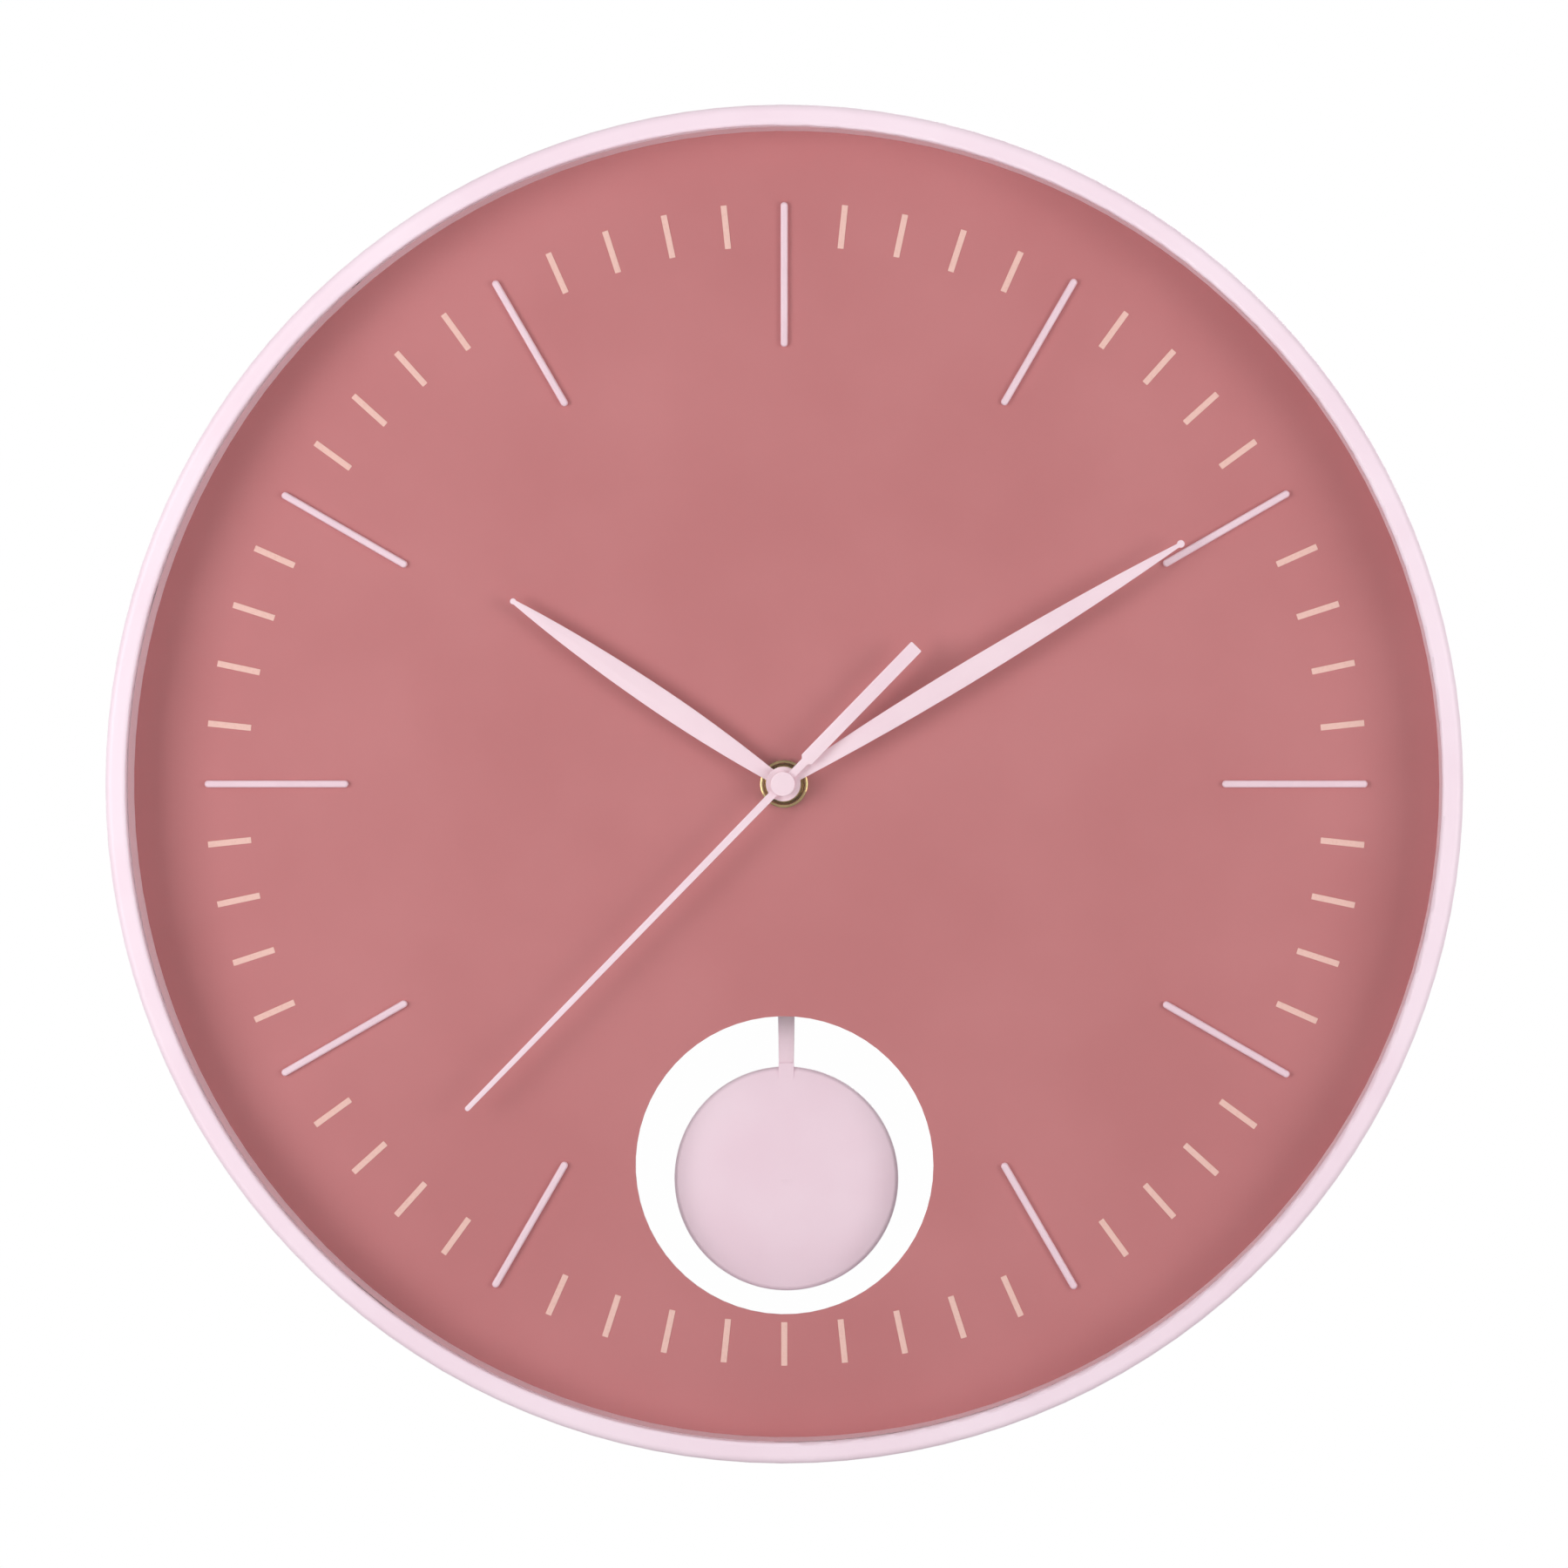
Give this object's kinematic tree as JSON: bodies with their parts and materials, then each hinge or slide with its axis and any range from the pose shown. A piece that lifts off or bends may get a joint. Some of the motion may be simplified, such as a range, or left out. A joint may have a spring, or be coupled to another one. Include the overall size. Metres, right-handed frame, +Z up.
{
  "type": "pendulum wall clock",
  "caption": "Round wall clock with a pale rim, rose dial, slim baton marks and lancet hands; a round window in the dial shows a swinging disc pendulum.",
  "frame": {"origin": "on the hand axis, in the plane of the wall behind the case", "axes": "+Z up towards twelve, +X to the right of someone reading the dial, +Y into the wall"},
  "size_m": [0.3, 0.045, 0.3],
  "materials": {
    "case_paint": "satin powder paint",
    "spacer_paint": "satin paint",
    "lens_glass": "clear float glass",
    "dial_paint": "matt old-rose paint on sheet",
    "mark_ink": "screen print",
    "baton_metal": "satin paint on drawn bar",
    "hand_paint": "satin paint on stamped sheet",
    "brass": "turned",
    "rubber": "moulded",
    "steel": "zinc plated",
    "black_plastic": "fine moulded grain",
    "train_plastic": "natural acetal",
    "soft_iron": "stamped sheet",
    "copper": "enamelled copper wire",
    "magnet": "plated magnet",
    "circuit_board": "glass-fibre board",
    "chip_resin": "black potting resin",
    "crystal_can": "drawn can",
    "cell_wrap": "plain printed sleeve",
    "rod_paint": "satin paint",
    "bob_paint": "satin paint"
  },
  "bodies": {
    "case": {"case_ring": "case_paint", "spacer_ring": "spacer_paint", "lens_glass": "lens_glass", "dial_plate": "dial_paint", "minute_marks": "mark_ink", "hour_baton_1": "baton_metal", "hour_baton_2": "baton_metal", "hour_baton_3": "baton_metal", "hour_baton_4": "baton_metal", "hour_baton_5": "baton_metal", "hour_baton_7": "baton_metal", "hour_baton_8": "baton_metal", "hour_baton_9": "baton_metal", "hour_baton_10": "baton_metal", "hour_baton_11": "baton_metal", "hour_baton_12": "baton_metal", "fixing_nut": "brass", "threaded_bush": "brass", "cushion_washer": "rubber", "snap_ring": "steel", "hanger_plate": "steel", "cover_screws": "steel", "plate_screws": "steel", "pendulum_pivot": "steel", "battery_contact_positive": "steel", "battery_contact_negative": "steel", "movement_shell": "black_plastic", "movement_cover": "black_plastic", "coil_bobbin": "black_plastic", "train_plate": "train_plastic", "motor_stator": "soft_iron", "coil_core": "soft_iron", "coil_winding": "copper", "pendulum_coil": "copper", "circuit_board": "circuit_board", "timing_chip": "chip_resin", "quartz_crystal": "crystal_can", "battery_cell": "cell_wrap"},
    "seconds": {"second_hand": "hand_paint", "second_hand_cap": "hand_paint", "seconds_arbor": "steel", "seconds_wheel": "train_plastic"},
    "intermediate": {"intermediate_wheel": "train_plastic"},
    "rotor": {"rotor_pinion": "train_plastic", "rotor_magnet": "magnet"},
    "third": {"third_wheel": "train_plastic"},
    "minutes": {"minute_hand": "hand_paint", "centre_wheel": "train_plastic"},
    "minute_work": {"minute_wheel": "train_plastic", "setting_knob": "black_plastic"},
    "hours": {"hour_hand": "hand_paint", "hour_wheel": "train_plastic"},
    "pendulum": {"pendulum_lever": "train_plastic", "pendulum_magnet": "magnet", "pendulum_rod": "rod_paint", "pendulum_bob": "bob_paint"}
  },
  "joints": [
    {"name": "second_hand_turn", "type": "hinge", "parent": "case", "child": "seconds", "pos_m": [0, 0, 0], "axis": [0, 1, 0], "continuous": true},
    {"name": "intermediate_turn", "type": "hinge", "parent": "case", "child": "intermediate", "pos_m": [0.01, 0, 0], "axis": [0, 1, 0], "continuous": true},
    {"name": "rotor_turn", "type": "hinge", "parent": "case", "child": "rotor", "pos_m": [0.018, 0, 0], "axis": [0, 1, 0], "continuous": true},
    {"name": "third_wheel_turn", "type": "hinge", "parent": "case", "child": "third", "pos_m": [0, 0, -0.01], "axis": [0, 1, 0], "continuous": true},
    {"name": "minute_hand_turn", "type": "hinge", "parent": "case", "child": "minutes", "pos_m": [0, 0, 0], "axis": [0, 1, 0], "continuous": true},
    {"name": "setting_knob_turn", "type": "hinge", "parent": "case", "child": "minute_work", "pos_m": [-0.01, 0, 0], "axis": [0, 1, 0], "continuous": true},
    {"name": "hour_hand_turn", "type": "hinge", "parent": "case", "child": "hours", "pos_m": [0, 0, 0], "axis": [0, 1, 0], "continuous": true},
    {"name": "pendulum_swing", "type": "hinge", "parent": "case", "child": "pendulum", "pos_m": [0, 0, -0.024], "axis": [0, 1, 0], "range_deg": [-10, 10]}
  ],
  "couplings": [
    {"joint": "intermediate_turn", "follows": "second_hand_turn", "ratio": -6},
    {"joint": "rotor_turn", "follows": "second_hand_turn", "ratio": 30},
    {"joint": "third_wheel_turn", "follows": "second_hand_turn", "ratio": -0.13333},
    {"joint": "minute_hand_turn", "follows": "second_hand_turn", "ratio": 0.016667},
    {"joint": "setting_knob_turn", "follows": "second_hand_turn", "ratio": -0.0055556},
    {"joint": "hour_hand_turn", "follows": "second_hand_turn", "ratio": 0.0013889}
  ]
}
